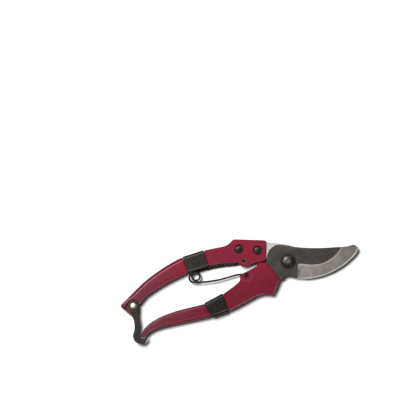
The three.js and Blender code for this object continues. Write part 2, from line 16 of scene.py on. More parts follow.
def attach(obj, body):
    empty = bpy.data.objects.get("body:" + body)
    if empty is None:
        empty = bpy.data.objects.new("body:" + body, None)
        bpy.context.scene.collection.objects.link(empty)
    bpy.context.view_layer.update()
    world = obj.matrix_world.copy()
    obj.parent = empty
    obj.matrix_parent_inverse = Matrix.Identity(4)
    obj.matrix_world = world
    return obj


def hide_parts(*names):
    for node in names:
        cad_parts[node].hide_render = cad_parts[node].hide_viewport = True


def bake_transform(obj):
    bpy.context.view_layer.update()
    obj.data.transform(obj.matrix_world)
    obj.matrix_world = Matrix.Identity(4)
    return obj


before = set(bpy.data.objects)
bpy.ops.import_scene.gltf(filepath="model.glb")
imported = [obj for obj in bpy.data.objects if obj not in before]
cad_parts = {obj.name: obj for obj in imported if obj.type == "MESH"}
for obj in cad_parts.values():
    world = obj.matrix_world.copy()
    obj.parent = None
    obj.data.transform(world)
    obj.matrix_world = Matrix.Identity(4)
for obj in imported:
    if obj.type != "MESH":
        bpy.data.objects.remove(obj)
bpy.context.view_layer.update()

MM = 0.001

# ---- Dimensions shared with the CAD part ----

GAP = 0.3
HANDLE_BOTTOM, HANDLE_TOP = 0.4, 11.8
BAND_BOTTOM, BAND_TOP, BAND_WALL = 0.0, 12.2, 1.8
COUNTER_BOTTOM, COUNTER_TOP = 4.0, 7.4
BLADE_BOTTOM, BLADE_TOP, BLADE_LAND = 7.5, 10.5, 0.2
SHOULDER_RADIUS = 18.0
BOLT_RADIUS, BOLT_HOLE = 4.0, 4.3
SCREW_RADIUS, SCREW_HOLE, SCREW_HEAD, SCREW_SEAT = 2.0, 2.3, 2.9, 3.6
HANDLE_SCREWS = {"front": (-20.9, 17.3), "rear": (-35.2, 23.5)}
BLADE_SCREWS = {"front": (-21.0, -7.5), "rear": (-33.5, -10.0)}
WIRE_RADIUS, WIRE_HOLE = 0.8, 1.25
COIL_CENTRE, COIL_RADIUS = (-77.2, 14.1), 3.4
UPPER_BOSS, LOWER_BOSS = (-35.0, 12.7), (-37.0, 0.5)
UPPER_LEG_Z, COIL_TOP_Z, LOWER_LEG_Z, WIRE_END = 4.6, 8.4, 6.3, 10.9
RIVET, RIVET_HOLE = (-134.9, 8.9), 1.95
BOSS_RADIUS, BOSS_FLOOR = 2.35, HANDLE_TOP - 0.5
HANDLE_CUT, BLADE_CUT, COUNTER_CUT = (-1, 12.5), (5, 12), (0, 9)
HANDLE_SLICE, COUNTER_SLICE, LATCH_SLICE = 1.95, 5.7, 10.7
SEAT_FLOOR, LATCH_SEAT, NUT_POCKET_WIDTH, NUT_POCKET_TOP = 9.2, 8.7, 7.6, 2.9

BLADE_TANG = [(-17.9, -1.5), (-30, -3.6), (-39, -7.5), (-38.5, -13.8), (-24, -13.6), (-12.8, -12.1)]
BLADE_MOUTH = [(-5, -13.6), (-5, -1.5)]
COUNTER_TANG = [(-12.2, 21.1), (-38, 30), (-41, 22.5), (-34, 18.4), (-24, 12.5), (-16.9, 8.8)]
COUNTER_MOUTH = [(-9, 8.8), (-4, 21.1)]
CUTTING_EDGE = [
    (59.1, -11.0), (57.2, -13.2), (52.9, -15.7), (44.0, -19.3), (34.3, -21.3), (25.1, -22.0), (16.4, -21.2),
    (12.3, -20.35), (8.2, -19.1), (5.3, -17.7), (2.4, -16.2),
]
BEVEL_LINE = [
    (46.4, -4.3), (45.4, -5.1), (43.2, -6.8), (38.0, -9.7), (31.0, -11.5), (24.0, -11.5), (16.3, -9.3),
    (10.6, -6.5), (7.2, -5.9), (4.9, -11.0), (2.6, -15.8),
]
BLADE_BACK = [(-7.8, 15.5), (-4.1, 15.8), (2.2, 13.4), (13.4, 7.2), (29.0, 1.0), (46.4, -4.3)]
BLADE_NOSE = [(46.4, -4.3), (52.6, -5.9), (55.4, -5.7), (57.3, -6.3), (58.7, -8.5), (59.1, -11.0)]
BLADE_NECK = [
    (2.4, -16.2), (-0.7, -14.1), (-2.8, -12.6), (-5.1, -11.5), (-6.8, -11.3), (-8.3, -11.9), (-9.8, -12.9),
]

# ---- Camera, light and floor ----

FRAME_CENTRE = (-51.9, 73.4)
FRAME_SPAN = 336.0
ROLL = math.radians(-20)
SENSOR, LENS = 36.0, 200.0
LIT_PLACE = (-40, 5, 6)
# For each lamp, the direction of its light's source, its distance and size in metres, and its power.
LAMPS = {
    "key": ((-0.16, 0.35, 1.0), 1.6, 0.55, 36.0),
    "left": ((-0.94, 0.34, 0.85), 1.2, 0.35, 1.2),
    "rim": ((0.42, -0.91, 0.60), 1.3, 0.3, 0.8),
}
FLOOR_HALF, FLOOR_DROP = 3.0, 0.0001


def place_camera():
    camera = bpy.data.objects.new("camera", bpy.data.cameras.new("camera"))
    camera.data.sensor_width = SENSOR
    camera.data.lens = LENS
    camera.data.clip_end = 10.0
    distance = FRAME_SPAN * LENS / SENSOR
    camera.location = Vector((*FRAME_CENTRE, HANDLE_TOP + distance)) * MM
    camera.rotation_euler = (0, 0, ROLL)
    bpy.context.collection.objects.link(camera)
    bpy.context.scene.camera = camera


def place_lamp(name, towards, distance, size, power):
    """A soft round lamp that looks at the middle of the shears from a direction."""
    light = bpy.data.lights.new(name, "AREA")
    light.shape = "DISK"
    light.size = size
    light.energy = power
    lamp = bpy.data.objects.new(name, light)
    direction = Vector(towards).normalized()
    lamp.location = Vector(LIT_PLACE) * MM + direction * distance
    lamp.rotation_euler = direction.to_track_quat("Z", "Y").to_euler()
    lamp.visible_camera = False
    bpy.context.collection.objects.link(lamp)


def place_stage():
    world = bpy.data.worlds.new("studio")
    world.use_nodes = True
    world.node_tree.nodes["Background"].inputs["Color"].default_value = (1.0, 1.0, 1.0, 1)
    world.node_tree.nodes["Background"].inputs["Strength"].default_value = 0.03
    bpy.context.scene.world = world
    bpy.context.scene.view_settings.view_transform = "Standard"
    for name, lamp in LAMPS.items():
        place_lamp(name, *lamp)
    mesh = bpy.data.meshes.new("floor")
    corners = [(x * FLOOR_HALF, y * FLOOR_HALF, 0) for x, y in ((-1, -1), (1, -1), (1, 1), (-1, 1))]
    mesh.from_pydata(corners, [], [(0, 1, 2, 3)])
    floor = bpy.data.objects.new("floor", mesh)
    floor.location.z = -FLOOR_DROP
    finish = Finish("floor_paper", Base_Color=(0.93, 0.93, 0.93, 1), Roughness=0.9)
    finish.bump(finish.noise(900.0), 0.05, 0.0001)
    mesh.materials.append(finish.material)
    bpy.context.collection.objects.link(floor)


# ---- Materials ----


class Finish:
    """A material of nodes round one Principled shader. Its textures are in the part's own coordinates."""

    def __init__(self, name, **sockets):
        self.material = bpy.data.materials.new(name)
        self.material.use_nodes = True
        self.tree = self.material.node_tree
        self.shader = self.tree.nodes["Principled BSDF"]
        for socket, value in sockets.items():
            self.shader.inputs[socket.replace("_", " ")].default_value = value
        self.place = self.node("ShaderNodeTexCoord").outputs["Object"]

    def node(self, kind, inputs=None, **settings):
        node = self.tree.nodes.new(kind)
        for key, value in settings.items():
            setattr(node, key, value)
        for key, value in (inputs or {}).items():
            self.feed(node.inputs[key], value)
        return node

    def feed(self, socket, value):
        if isinstance(value, bpy.types.NodeSocket):
            self.tree.links.new(value, socket)
        else:
            socket.default_value = value

    def noise(self, scale, stretch=(1, 1, 1), detail=3.0, place=None):
        mapping = self.node("ShaderNodeMapping", {"Vector": place or self.place, "Scale": stretch})
        inputs = {"Vector": mapping.outputs["Vector"], "Scale": scale, "Detail": detail}
        return self.node("ShaderNodeTexNoise", inputs).outputs["Fac"]

    def spread(self, value, low, high, to_low=0.0, to_high=1.0):
        inputs = {"Value": value, "From Min": low, "From Max": high, "To Min": to_low, "To Max": to_high}
        return self.node("ShaderNodeMapRange", inputs).outputs["Result"]

    def math(self, operation, a, b=0.0):
        return self.node("ShaderNodeMath", {0: a, 1: b}, operation=operation).outputs[0]

    def mix(self, factor, a, b):
        return self.node("ShaderNodeMix", {0: factor, 6: a, 7: b}, data_type="RGBA").outputs[2]

    def patches(self, low, high, scale, detail, start=0.35, end=0.65):
        """Two colours in soft patches."""
        return self.mix(self.spread(self.noise(scale, detail=detail), start, end), rgb(*low), rgb(*high))

    def coloured(self, base, *layers):
        """Sets the base colour, each layer's colour laid over those before it by the layer's factor."""
        for factor, colour in layers:
            base = self.mix(factor, base, rgb(*colour))
        self.feed(self.shader.inputs["Base Color"], base)

    def rough(self, texture, low, high):
        self.feed(self.shader.inputs["Roughness"], self.spread(texture, 0.3, 0.7, low, high))

    def bump(self, height, strength, distance):
        inputs = {"Height": height, "Strength": strength, "Distance": distance}
        self.feed(self.shader.inputs["Normal"], self.node("ShaderNodeBump", inputs).outputs["Normal"])

    def dimple(self, place, radius):
        """From 0 to 1 within a radius of a hole in the top of a handle."""
        flat = self.node("ShaderNodeVectorMath", {0: self.place, 1: (1, 1, 0)}, operation="MULTIPLY")
        middle = (place[0] * MM, place[1] * MM, 0)
        away = self.node("ShaderNodeVectorMath", {0: flat.outputs[0], 1: middle}, operation="DISTANCE")
        within = self.spread(away.outputs["Value"], (radius + 0.1) * MM, (radius - 0.1) * MM)
        return self.math("MULTIPLY", within, self.along("Z", 8, 9))

    def marks(self):
        return self.node("ShaderNodeAttribute", attribute_name="painted_edge_light").outputs["Fac"]

    def painted_edge_light(self, most=1.0):
        """A painted highlight: from 0 upwards on the edges that a piece marks for painted edge light, broken
        up by noise.
        """
        patchy = self.spread(self.noise(500.0), 0.25, 0.6, 0.4 * most, most)
        return self.math("MULTIPLY", self.marks(), patchy)

    def painted_edge_shade(self):
        """Painted shade: from 0 to 1 on the edges that a piece marks with less than 0."""
        return self.spread(self.marks(), 0.0, EDGE_SHADE_MARK)

    def along(self, axis, start, end):
        """From 0 to 1 along an axis of the part, between two places in millimetres."""
        separate = self.node("ShaderNodeSeparateXYZ", {"Vector": self.place})
        return self.spread(separate.outputs[axis], start * MM, end * MM)


def rgb(red, green, blue):
    """An sRGB colour from 0 to 255 as the shader takes it."""
    linear = [((c / 255 + 0.055) / 1.055) ** 2.4 if c > 10 else c / 255 / 12.92 for c in (red, green, blue)]
    return (*linear, 1)


def coated_handle():
    finish = Finish("coated_handle", Roughness=0.4, Metallic=0.0, IOR=1.45, Specular_IOR_Level=0.09)
    finish.coloured(
        finish.patches((120, 17, 38), (108, 20, 45), 70.0, 4.0, 0.38, 0.64),
        # Painted shade: the lower handle is painted darker than the upper.
        (finish.along("Y", 5, -12), (98, 17, 36)),
        # Painted sheen: the paint turns duller and greyer towards the rear grips.
        (finish.along("X", -80, -125), (94, 36, 49)),
        (finish.spread(finish.noise(1500.0, detail=2.0), 0.56, 0.72, 0.0, 0.35), (134, 34, 56)),
        # Painted shade in the screw seats.
        *[(finish.dimple(spot, SCREW_SEAT + 0.1), (30, 20, 23)) for spot in HANDLE_SCREWS.values()],
        (finish.dimple(UPPER_BOSS, 2.3), (92, 62, 40)),
        # Round the lower boss: a painted highlight on a ring just outside its groove, then the plain paint
        # again.
        (finish.dimple(LOWER_BOSS, 4.9), (142, 48, 68)),
        (finish.dimple(LOWER_BOSS, 4.3), (110, 22, 42)),
        # Painted shade in the lower boss's hollow.
        (finish.dimple(LOWER_BOSS, 2.5), (80, 26, 36)),
        # Painted highlight on the marked edges and creases, then painted shade on the edges that face away.
        (finish.painted_edge_light(0.85), (176, 112, 126)),
        (finish.painted_edge_shade(), (52, 8, 16)),
    )
    finish.rough(finish.noise(260.0), 0.29, 0.4)
    finish.bump(finish.noise(2600.0, detail=2.0), 0.18, 0.00006)
    return finish.material


def grip_rubber():
    finish = Finish("grip_rubber", Roughness=0.6, IOR=1.5, Specular_IOR_Level=0.14)
    finish.coloured(
        finish.patches((26, 23, 19), (38, 34, 29), 160.0, 5.0),
        # Painted shade: the lower band is painted darker than the upper.
        (finish.along("Y", 10, 0), (15, 10, 7)),
        # Painted highlight along the creases of the band's bevels.
        (finish.painted_edge_light(0.8), (104, 103, 98)),
    )
    finish.rough(finish.noise(400.0), 0.52, 0.7)
    finish.bump(finish.noise(1900.0, detail=3.0), 0.35, 0.00012)
    return finish.material


def coated_blade():
    finish = Finish("coated_blade", Roughness=0.5, Metallic=0.3, Specular_IOR_Level=0.2)
    scuffs = finish.noise(240.0, (0.25, 2.2, 1.0), detail=5.0)
    stains = finish.noise(75.0, detail=3.0)
    finish.coloured(
        finish.patches((42, 38, 35), (54, 49, 46), 110.0, 6.0),
        (finish.spread(scuffs, 0.6, 0.75, 0.0, 0.4), (88, 82, 76)),
        (finish.spread(stains, 0.5, 0.72, 0.0, 0.55), (66, 50, 38)),
        # Painted highlight on the marked edges of the blade's face.
        (finish.painted_edge_light(), (205, 200, 192)),
    )
    finish.rough(finish.noise(300.0), 0.42, 0.6)
    finish.bump(finish.noise(2200.0, detail=3.0), 0.2, 0.00006)
    return finish.material


def ground_steel(name, light, dark, dark_end, roughness):
    """Steel ground across its edge. The "grind" attribute holds the way along the edge and across it."""
    finish = Finish(name, Roughness=roughness, Metallic=0.5)
    grind = finish.node("ShaderNodeAttribute", attribute_name="grind").outputs["Vector"]
    lines = finish.noise(1.0, (3.2, 0.12, 1.0), detail=4.0, place=grind)
    clouds = finish.noise(120.0, detail=4.0)
    shade = finish.math("ADD", finish.math("MULTIPLY", lines, 0.6), finish.math("MULTIPLY", clouds, 0.4))
    base = finish.mix(finish.spread(shade, 0.36, 0.64), rgb(*dark), rgb(*light))
    from_tip = finish.node("ShaderNodeSeparateXYZ", {"Vector": grind}).outputs["X"]
    finish.coloured(base, (finish.spread(from_tip, 24.0, 2.0, 0.0, 0.5), dark_end))
    finish.rough(lines, roughness - 0.07, roughness + 0.1)
    finish.bump(lines, 0.3, 0.00005)
    return finish.material


def polished_steel():
    finish = Finish("polished_steel", Roughness=0.4, Metallic=0.6)
    brush = finish.noise(700.0, (0.2, 1.6, 1.0), detail=4.0)
    finish.coloured(finish.mix(finish.spread(brush, 0.3, 0.7), rgb(136, 134, 130), rgb(158, 156, 151)))
    finish.rough(brush, 0.36, 0.46)
    finish.bump(brush, 0.1, 0.00003)
    return finish.material


def black_steel(name, low=(30, 27, 24), high=(42, 38, 34), roughness=0.42, metallic=0.3, gloss=0.2):
    finish = Finish(name, Roughness=roughness, Metallic=metallic, Specular_IOR_Level=gloss)
    # Painted highlight on the edges that a piece marks, such as the latch's.
    finish.coloured(finish.patches(low, high, 260.0, 5.0), (finish.painted_edge_light(), (122, 114, 106)))
    finish.rough(finish.noise(500.0), roughness - 0.08, roughness + 0.1)
    finish.bump(finish.noise(2400.0, detail=2.0), 0.2, 0.00006)
    return finish.material


def bright_metal(name, low, high, roughness):
    finish = Finish(name, Roughness=roughness, Metallic=1.0)
    finish.coloured(finish.patches(low, high, 420.0, 4.0))
    finish.rough(finish.noise(900.0), roughness - 0.06, roughness + 0.08)
    finish.bump(finish.noise(1800.0), 0.12, 0.00005)
    return finish.material


# ---- Curves and outlines ----


def spline(points, count):
    """Points along a uniform Catmull-Rom curve through the given points, in two or three dimensions."""
    points = np.array(points, float)
    last = len(points) - 1
    result = []
    for share in np.linspace(0, 1, count + 1):
        i = min(int(share * last), last - 1)
        w = share * last - i
        a, b, c, d = points[max(i - 1, 0)], points[i], points[i + 1], points[min(i + 2, last)]
        v0, v1 = (c - a) / 2, (d - b) / 2
        result.append((2 * b - 2 * c + v0 + v1) * w**3 + (-3 * b + 3 * c - 2 * v0 - v1) * w**2 + v0 * w + b)
    return np.array(result)


def travelled(line):
    """How far along an open line each of its points is."""
    return np.concatenate([[0], np.cumsum(np.linalg.norm(np.diff(line, axis=0), axis=1))])


def evened(loop, step, rounds=0):
    """A closed outline at equal steps. Each round of smoothing softens its corners a little more."""
    ends = np.vstack([loop, loop[:1]])
    lengths = travelled(ends)
    count = max(8, round(lengths[-1] / step))
    at = np.linspace(0, lengths[-1], count, endpoint=False)
    result = np.stack([np.interp(at, lengths, ends[:, 0]), np.interp(at, lengths, ends[:, 1])], 1)
    return softened(result, rounds)


def softened(values, rounds):
    """Values along a closed outline, each evened out with its neighbours a number of times."""
    for _ in range(rounds):
        values = (np.roll(values, 1, 0) + 2 * values + np.roll(values, -1, 0)) / 4
    return values


def opened(line, step):
    """An open line at equal steps, its ends kept."""
    lengths = travelled(line)
    at = np.linspace(0, lengths[-1], max(2, round(lengths[-1] / step) + 1))
    return np.stack([np.interp(at, lengths, line[:, axis]) for axis in range(line.shape[1])], 1)


def grown(points, distance):
    """An anticlockwise outline with straight sides, moved outwards by a distance."""
    points = np.array(points, float)
    before = points - np.roll(points, 1, 0)
    after = np.roll(points, -1, 0) - points
    before /= np.linalg.norm(before, axis=1)[:, None]
    after /= np.linalg.norm(after, axis=1)[:, None]
    normal = np.stack([before[:, 1] + after[:, 1], -before[:, 0] - after[:, 0]], 1)
    normal /= np.linalg.norm(normal, axis=1)[:, None]
    stretch = normal[:, 0] * after[:, 1] - normal[:, 1] * after[:, 0]
    return points + normal * (distance / stretch)[:, None]


def area(loop):
    return 0.5 * float(np.sum(loop[:, 0] * np.roll(loop[:, 1], -1) - np.roll(loop[:, 0], -1) * loop[:, 1]))


def loops_at(node, z):
    """The closed outlines of a CAD node at a height, the largest first, each anticlockwise."""
    bm = bmesh.new()
    bm.from_mesh(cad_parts[node].data)
    bm.transform(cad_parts[node].matrix_world)
    bmesh.ops.remove_doubles(bm, verts=bm.verts, dist=2e-6)
    cut = bmesh.ops.bisect_plane(
        bm, geom=bm.verts[:] + bm.edges[:] + bm.faces[:], plane_co=(0, 0, z * MM), plane_no=(0, 0, 1),
    )
    links = {}
    for edge in cut["geom_cut"]:
        if isinstance(edge, bmesh.types.BMEdge):
            a, b = edge.verts
            links.setdefault(a, []).append(b)
            links.setdefault(b, []).append(a)
    loops = []
    while links:
        start = next(iter(links))
        chain, current = [start], start
        while links.get(current):
            after = links[current].pop()
            links[after].remove(current)
            chain.append(after)
            current = after
        for vertex in chain:
            if not links.get(vertex):
                links.pop(vertex, None)
        loop = np.array([[v.co.x, v.co.y] for v in chain[:-1]]) / MM
        if len(loop) > 2:
            loops.append(loop if area(loop) > 0 else loop[::-1])
    bm.free()
    return sorted(loops, key=lambda loop: -area(loop))


def nearest(points, loop, sides=None):
    """For each point, its distance from a closed outline and its place there, as the number of a side and the
    share of it. Only the given sides count, if there are any."""
    side = np.roll(loop, -1, 0) - loop
    squared = np.maximum(np.sum(side * side, 1), 1e-12)
    distances, places = [], []
    for chunk in np.array_split(points, max(1, len(points) // 800)):
        away = chunk[:, None, :] - loop[None]
        share = np.clip(np.sum(away * side[None], 2) / squared[None], 0, 1)
        gap = np.linalg.norm(away - share[..., None] * side[None], axis=2)
        if sides is not None:
            gap[:, ~sides] = np.inf
        index = gap.argmin(1)
        rows = np.arange(len(chunk))
        distances.append(gap[rows, index])
        places.append(index + share[rows, index])
    return np.concatenate(distances), np.concatenate(places)


def side_of(place, loop):
    return np.floor(place).astype(int) % len(loop)


def between(values, place):
    """The value at a place on an outline, between those of the two points beside it."""
    index = side_of(place, values)
    share = place - np.floor(place)
    return values[index] * (1 - share) + values[(index + 1) % len(values)] * share


def inside(points, loop):
    x, y = points[:, 0][:, None], points[:, 1][:, None]
    x0, y0 = loop[:, 0][None], loop[:, 1][None]
    x1, y1 = np.roll(loop[:, 0], -1)[None], np.roll(loop[:, 1], -1)[None]
    crosses = (y0 > y) != (y1 > y)
    with np.errstate(divide="ignore", invalid="ignore"):
        reach = x < (x1 - x0) * (y - y0) / (y1 - y0) + x0
    return (crosses & reach).sum(1) % 2 == 1


def outward(loop):
    tangent = np.roll(loop, -1, 0) - np.roll(loop, 1, 0)
    tangent /= np.maximum(np.linalg.norm(tangent, axis=1), 1e-9)[:, None]
    return np.stack([tangent[:, 1], -tangent[:, 0]], 1)


# ---- Meshes ----

EDGE_STEPS = (0.03, 0.13, 0.3, 0.55, 1.0)
SMALLEST_ROUNDING, ROW_SLACK, PAST_EDGE = 0.02, 0.02, 1.15
ON_THE_RIM = 0.002
CREASE_STEPS = (0.6, 0.8, 0.9, 0.96, 1.02, 1.1, 1.25)
CREASE_SOFTNESS, CREASE_CLEARANCE, CREASE_GLINT = 0.12, 0.12, 0.24
CROWN_WIDTH = 6.0
SHARP_ANGLE = math.radians(32)
LEVEL = 0.99999
NO_LENGTH = 0.0001
# The side whose rounded edges get a painted highlight.
HIGHLIGHT_SIDE = (0.42, -0.91)
# The mark below 0 that gives the edges facing away full painted shade.
EDGE_SHADE_MARK = -0.8


def made(name, vertices, faces):
    """An object from vertices in millimetres, welded, with its normals outwards."""
    mesh = bpy.data.meshes.new(name)
    mesh.from_pydata([tuple(v) for v in np.asarray(vertices, float) * MM], [], faces)
    bm = bmesh.new()
    bm.from_mesh(mesh)
    bmesh.ops.remove_doubles(bm, verts=bm.verts, dist=1e-6)
    bmesh.ops.recalc_face_normals(bm, faces=bm.faces)
    bm.to_mesh(mesh)
    bm.free()
    piece = bpy.data.objects.new(name, mesh)
    bpy.context.collection.objects.link(piece)
    return piece


def cap(outer, radii, spacing, widths=None, sides=None):
    """Triangles that cover an outline. The points crowd towards the edge, where it rolls off by the radii,
    and round the crease of a wide bevel of the given widths along some of its sides."""
    normal = outward(outer)
    rows = [outer]

    def add_row(depth, use, sides=None):
        row, wanted = (outer - normal * depth[:, None])[use], depth[use]
        if len(row):
            clear = sides is None or nearest(row, outer)[0] > CREASE_CLEARANCE
            gap, _ = nearest(row, outer, sides)
            rows.append(row[(gap > wanted - ROW_SLACK) & clear & inside(row, outer)])

    for share in EDGE_STEPS:
        add_row(share * radii, share * radii > SMALLEST_ROUNDING)
    for share in CREASE_STEPS if widths is not None else ():
        add_row(share * widths, (share * widths > radii) & sides, sides)
    low, high = outer.min(0), outer.max(0)
    grid = np.stack(np.meshgrid(np.arange(low[0], high[0], spacing), np.arange(low[1], high[1], spacing)), -1)
    grid = grid.reshape(-1, 2)
    grid = grid[inside(grid, outer)]
    gap, place = nearest(grid, outer)
    reach = radii * PAST_EDGE if widths is None else np.maximum(radii * PAST_EDGE, widths * CREASE_STEPS[-1])
    rows.append(grid[gap > reach[side_of(place, outer)] + 0.3 * spacing])
    points = np.vstack(rows)
    count = len(outer)
    edges = [(i, (i + 1) % count) for i in range(count)]
    vertices, _, faces, origins, _, _ = delaunay_2d_cdt([Vector(p) for p in points], edges, [], 1, 1e-5)
    vertices = np.array([tuple(v) for v in vertices])
    rim = np.zeros(count, int)
    for i, sources in enumerate(origins):
        for source in sources:
            if source < count:
                rim[source] = i
    return vertices, np.array(faces), rim


def roll_off(points, outer, radii, crown=0.0, widths=None, sides=None, slope=0.45):
    """How far each point of a face lies below it, for rounded edges, a wide bevel and a gentle crown."""
    gap, place = nearest(points, outer)
    gap = np.where(gap < ON_THE_RIM, 0.0, gap)
    radius = between(radii, place)
    inwards = np.clip(gap / np.maximum(radius, 1e-9), 0, 1)
    drop = radius * (1 - np.sqrt(np.clip(1 - (1 - inwards) ** 2, 0, 1)))
    if widths is not None:
        reach, place = nearest(points, outer, sides)
        width = between(widths, place)
        ahead = width - reach
        drop += slope * (np.sqrt(ahead**2 + CREASE_SOFTNESS**2) + ahead) / 2 * np.clip(width, 0, 1)
    return drop + crown * (1 - np.clip(gap / CROWN_WIDTH, 0, 1)) ** 2


def slab(name, outer, bottom, top, radii, crown=0.0, widths=None, sides=None, slope=0.45, spacing=2.0):
    """A plate with an outline, whose top and bottom edges are rounded by a radius at each point."""
    flat, faces, rim = cap(outer, radii, spacing, widths, sides)
    drop = roll_off(flat, outer, radii, crown, widths, sides, slope)
    vertices = np.vstack([np.column_stack([flat, top - drop]), np.column_stack([flat, bottom + drop])])
    shift = len(flat)
    walls = [(a, b, b + shift, a + shift) for a, b in zip(rim, np.roll(rim, -1))]
    return made(name, vertices, faces.tolist() + (faces[:, ::-1] + shift).tolist() + walls)


def prism(name, outline, bottom, top, taper=1.0, centre=(0, 0)):
    """A straight-sided block. With a taper its bottom outline is that share of its top one."""
    outline = np.array(outline, float)
    narrow = (outline - np.array(centre)) * taper + np.array(centre)
    count = len(outline)
    vertices = [(*p, bottom) for p in narrow] + [(*p, top) for p in outline]
    faces = [tuple(range(count))[::-1], tuple(range(count, 2 * count))]
    faces += [(i, (i + 1) % count, count + (i + 1) % count, count + i) for i in range(count)]
    return made(name, vertices, faces)


def turned(name, place, profile, steps=64):
    """A solid of revolution. Its profile is (radius, z) from axis to axis, or a closed ring off the axis."""
    closed = profile[0][0] > 0
    vertices, faces = [], []
    for step in range(steps):
        angle = 2 * math.pi * step / steps
        for radius, z in profile:
            vertices.append((place[0] + radius * math.cos(angle), place[1] + radius * math.sin(angle), z))
    count = len(profile)
    for step in range(steps):
        following = (step + 1) % steps
        for i in range(count if closed else count - 1):
            j = (i + 1) % count
            faces.append((step * count + i, following * count + i, following * count + j, step * count + j))
    return made(name, vertices, faces)


def rod(place, radius, bottom, top, steps=64):
    return turned("rod", place, [(0, bottom), (radius, bottom), (radius, top), (0, top)], steps)


def dome(radius, bottom, height, steps=14):
    """Profile points of an elliptic dome from its rim to its top."""
    angles = np.radians(np.linspace(0, 90, steps + 1))
    points = [(radius * math.cos(a), bottom + height * math.sin(a)) for a in angles]
    points[-1] = (0, bottom + height)
    return points


def tube(name, path, caps):
    """The spring's wire along a path, with a rounded end at its start and its end where caps says so."""
    radius, sides = WIRE_RADIUS, 16
    path = np.array(path, float)
    tangents = np.gradient(path, axis=0)
    tangents /= np.linalg.norm(tangents, axis=1)[:, None]
    side = np.cross(tangents[0], (0, 0, 1))
    if np.linalg.norm(side) < 0.1:
        side = np.cross(tangents[0], (1, 0, 0))
    rings = []
    for point, tangent in zip(path, tangents):
        side = side - tangent * side.dot(tangent)
        side /= np.linalg.norm(side)
        rings.append((point, tangent, side))

    def rounded(ring, way):
        point, tangent, around = ring
        return [
            (point + way * tangent * radius * share, tangent, around, math.sqrt(1 - share**2))
            for share in (0.45, 0.8, 0.98)
        ]

    sections = [(*ring, 1.0) for ring in rings]
    if caps[0]:
        sections = rounded(rings[0], -1)[::-1] + sections
    if caps[1]:
        sections += rounded(rings[-1], 1)
    vertices, faces = [], []
    for point, tangent, around, scale in sections:
        other = np.cross(tangent, around)
        for k in range(sides):
            angle = 2 * math.pi * k / sides
            vertices.append(point + radius * scale * (math.cos(angle) * around + math.sin(angle) * other))
    for ring in range(len(sections) - 1):
        for k in range(sides):
            a, b = ring * sides + k, ring * sides + (k + 1) % sides
            faces.append((a, b, b + sides, a + sides))
    faces.append(tuple(range(sides))[::-1])
    faces.append(tuple((len(sections) - 1) * sides + k for k in range(sides)))
    return made(name, vertices, faces)


def carved(piece, cutters, operation="DIFFERENCE"):
    """A piece with each cutter taken from it, or kept only where it is inside the cutters."""
    for cutter in cutters:
        modifier = piece.modifiers.new("cut", "BOOLEAN")
        modifier.operation = operation
        modifier.solver = "MANIFOLD"
        modifier.object = cutter
    depsgraph = bpy.context.evaluated_depsgraph_get()
    mesh = bpy.data.meshes.new_from_object(piece.evaluated_get(depsgraph))
    piece.modifiers.clear()
    mesh.materials.clear()
    piece.data = mesh
    for cutter in cutters:
        bpy.data.objects.remove(cutter)
    return piece


def marked(piece, name, values):
    """Stores a number for each vertex of a piece, for its material to read."""
    attribute = piece.data.attributes.new(name, "FLOAT", "POINT")
    attribute.data.foreach_set("value", np.asarray(values, np.float32))


def seen_from_above(piece):
    return np.array([v.co for v in piece.data.vertices])[:, :2] / MM


def edge_light_values(piece, outer, radii, widths=None, sides=None, facing=HIGHLIGHT_SIDE, least=0.2, glint=1.0):
    """How much painted edge light each vertex gets: a painted highlight, most on rounded edges that face one
    side, and along the crease of a wide bevel. With least under 0, the edges that face away are negative,
    which a finish shows as painted shade."""
    points = seen_from_above(piece)
    gap, place = nearest(points, outer)
    index = side_of(place, outer)
    share = gap / np.maximum(radii[index], 0.1)
    rounded = np.clip(1 - np.abs(share - 0.3) / 0.5, 0, 1) * (gap > ON_THE_RIM)
    rounded *= least + (1 - least) * np.clip(outward(outer)[index] @ np.array(facing), 0, 1)
    if widths is None:
        return rounded
    gap, place = nearest(points, outer, sides)
    width = widths[side_of(place, outer)]
    return rounded + glint * np.exp(-(((gap - width) / CREASE_GLINT) ** 2)) * np.clip(width, 0, 1)


def read(collection, name, width=1, kind=float):
    """One property of every item of a mesh, a row for each where it has several numbers."""
    values = np.zeros(len(collection) * width, kind)
    collection.foreach_get(name, values)
    return values.reshape(-1, width) if width > 1 else values


def shaded(piece):
    """Smooth shading with sharp creases. The rounded edges of a flat face run into it without a step."""
    mesh = piece.data
    mesh.shade_smooth()
    mesh.set_sharp_from_angle(angle=SHARP_ANGLE)
    bm = bmesh.new()
    bm.from_mesh(mesh)
    for edge in bm.edges:
        if len({face.material_index for face in edge.link_faces}) > 1:
            edge.smooth = False
    bm.to_mesh(mesh)
    bm.free()
    normals = read(mesh.corner_normals, "vector", 3)
    facing = read(mesh.polygons, "normal", 3)
    owners = np.repeat(np.arange(len(mesh.polygons)), read(mesh.polygons, "loop_total", kind=int))
    corners = read(mesh.loops, "vertex_index", kind=int)
    for up in (1, -1):
        level = facing[:, 2] * up > LEVEL
        touched = np.zeros(len(mesh.vertices), bool)
        touched[corners[level[owners]]] = True
        eased = touched[corners] & (facing[owners, 2] * up > math.cos(SHARP_ANGLE))
        normals[eased] = (0, 0, up)
    mesh.normals_split_custom_set(normals.tolist())


def cleaned(piece):
    """Takes out the triangles without area that a cut can leave."""
    bm = bmesh.new()
    bm.from_mesh(piece.data)
    bmesh.ops.dissolve_degenerate(bm, dist=NO_LENGTH * MM, edges=bm.edges)
    bm.to_mesh(piece.data)
    bm.free()


def hand_in(piece, name, node, body, slot, *materials):
    """Gives a finished piece its name, materials and shading, puts it on the body it rides on and hides the
    CAD node it stands for.
    """
    piece.name = name
    for material in materials:
        piece.data.materials.append(material)
    cleaned(piece)
    shaded(piece)
    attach(piece, body)
    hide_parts(node)


